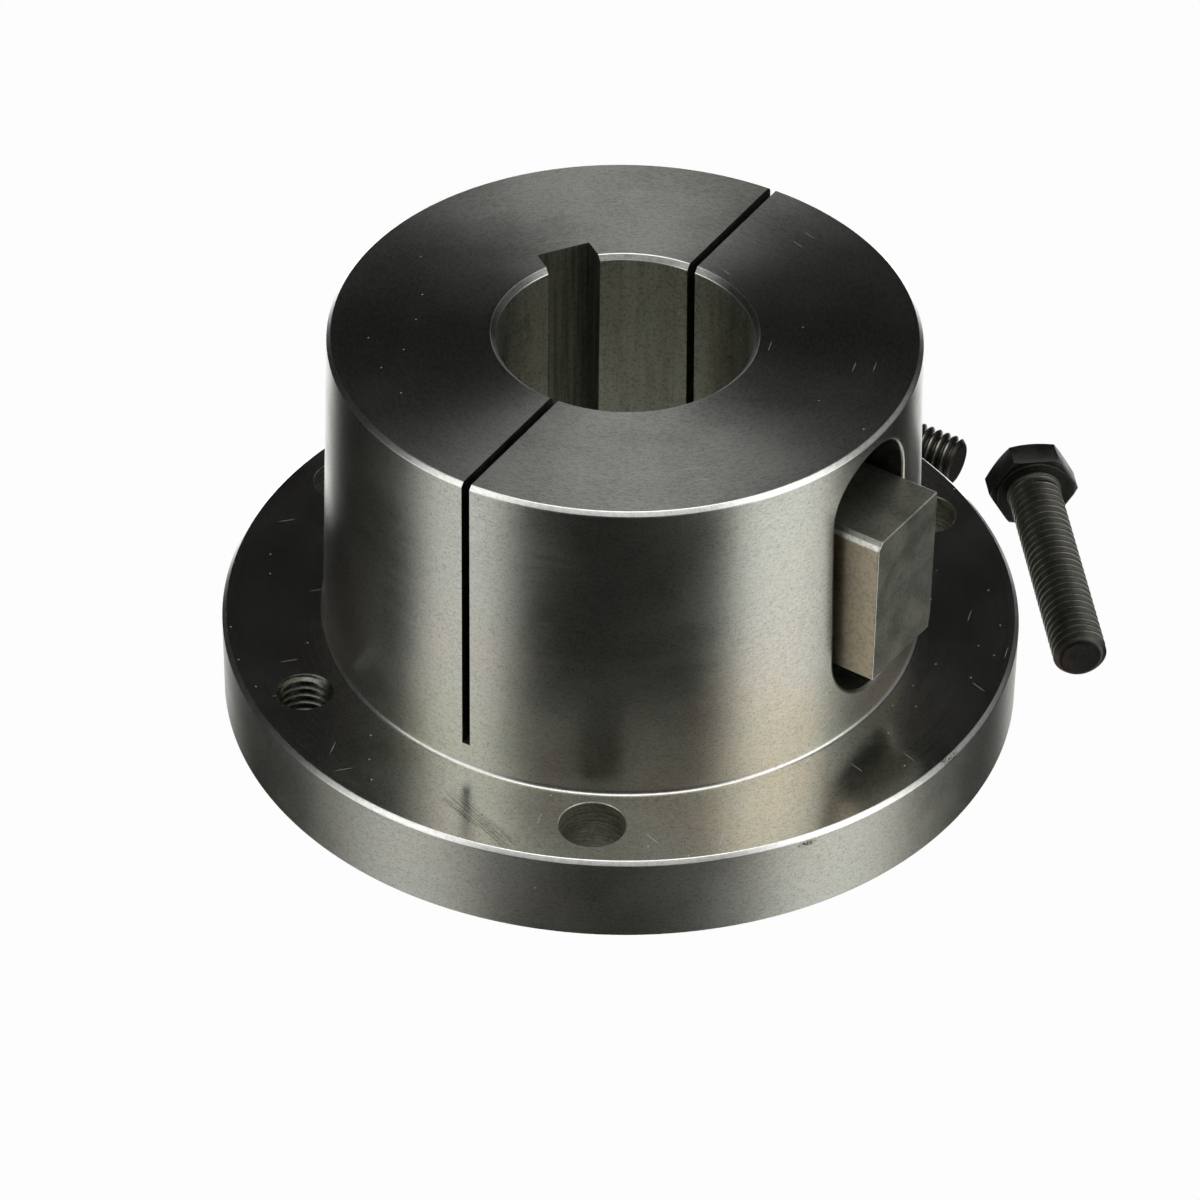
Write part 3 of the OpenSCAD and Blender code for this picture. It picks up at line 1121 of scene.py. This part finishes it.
def make_world():
    """A dim room with soft lights on both sides, overhead, in front above the camera and low behind."""
    world = bpy.data.worlds.new("studio")
    bpy.context.scene.world = world
    world.use_nodes = True
    tree = world.node_tree
    tree.nodes.clear()
    direction = put(tree, "TexCoord").outputs["Generated"]
    parts = split(tree, turn_about_z(tree, direction, -CAMERA_AZIMUTH))
    azimuth = maths(tree, "ARCTAN2", parts[1], parts[0])
    elevation = maths(tree, "ARCSINE", parts[2])
    lights = [smooth_box(tree, azimuth, elevation, box) for box in SOFT_BOXES.values()]
    total = plus(tree, *lights, ROOM_LIGHT)
    background = put(tree, "Background", {"Color": colour(1, 1, 1), "Strength": total})
    put(tree, "OutputWorld", {0: background.outputs[0]})
    world.cycles.sampling_method = "MANUAL"
    world.cycles.sample_map_resolution = 1024


def white_stage(obj):
    """Makes a stage piece plain white to the camera and leaves it out of reflections."""
    material, tree = new_material(obj.name + "_white")
    glow = put(tree, "Emission", {0: colour(0.98, 0.98, 0.98), 1: 1.0})
    put(tree, "OutputMaterial", {0: glow.outputs[0]})
    obj.data.materials.append(material)
    obj.visible_glossy = False
    obj.visible_diffuse = False
    obj.visible_shadow = False
    obj.visible_transmission = False


def make_floor_shade():
    """The grey patch of floor under the bushing, which closes its bore and holes from below."""
    radius = FLANGE_R - 2 * MM
    shade = lathe("floor_shade", [(0, 0), (radius, 0), (radius, -MM), (0, -MM)], 96)
    shade.location.z = cad_box[0].z - SHADE_GAP
    material, tree = new_material("floor_shade_grey")
    grey = noise(tree, put(tree, "TexCoord").outputs["Object"], 200.0)
    mottled = mix(tree, grey, colour(0.68, 0.68, 0.66), colour(0.78, 0.78, 0.76))
    shader = put(tree, "BsdfPrincipled", {"Base Color": mottled, "Roughness": 0.9})
    put(tree, "OutputMaterial", {0: shader.outputs[0]})
    shade.data.materials.append(material)


def make_stage():
    """A pale floor and a pale dome round it."""
    floor_r, dome_r = 3, 6
    floor = lathe("floor", [(0, 0), (floor_r, 0), (floor_r, -0.02), (0, -0.02)], 64)
    floor.location.z = cad_box[0].z - FLOOR_GAP
    arc = [math.radians(degrees) for degrees in range(-90, 91, 10)]
    dome = lathe("backdrop", [(dome_r * math.cos(a), dome_r * math.sin(a)) for a in arc], 64)
    for obj in (floor, dome):
        white_stage(obj)


def make_camera():
    """The view: from the front right of the bushing, looking down at its flange."""
    back = Vector((math.cos(CAMERA_AZIMUTH) * math.cos(CAMERA_ELEVATION),
                   math.sin(CAMERA_AZIMUTH) * math.cos(CAMERA_ELEVATION), math.sin(CAMERA_ELEVATION)))
    right = UP.cross(back).normalized()
    up = back.cross(right)
    rolled_right = right * math.cos(CAMERA_ROLL) + up * math.sin(CAMERA_ROLL)
    rolled_up = up * math.cos(CAMERA_ROLL) - right * math.sin(CAMERA_ROLL)
    matrix = Matrix((rolled_right, rolled_up, back)).transposed().to_4x4()
    matrix.translation = CAMERA_AIM + back * CAMERA_DISTANCE
    data = bpy.data.cameras.new("camera")
    data.sensor_width = 36
    data.lens = LENS
    data.clip_start = 0.05
    data.clip_end = 20
    camera = bpy.data.objects.new("camera", data)
    bpy.context.scene.collection.objects.link(camera)
    camera.matrix_world = matrix
    bpy.context.scene.camera = camera


make_world()
make_stage()
make_floor_shade()
make_camera()
bpy.context.scene.view_settings.view_transform = "Standard"
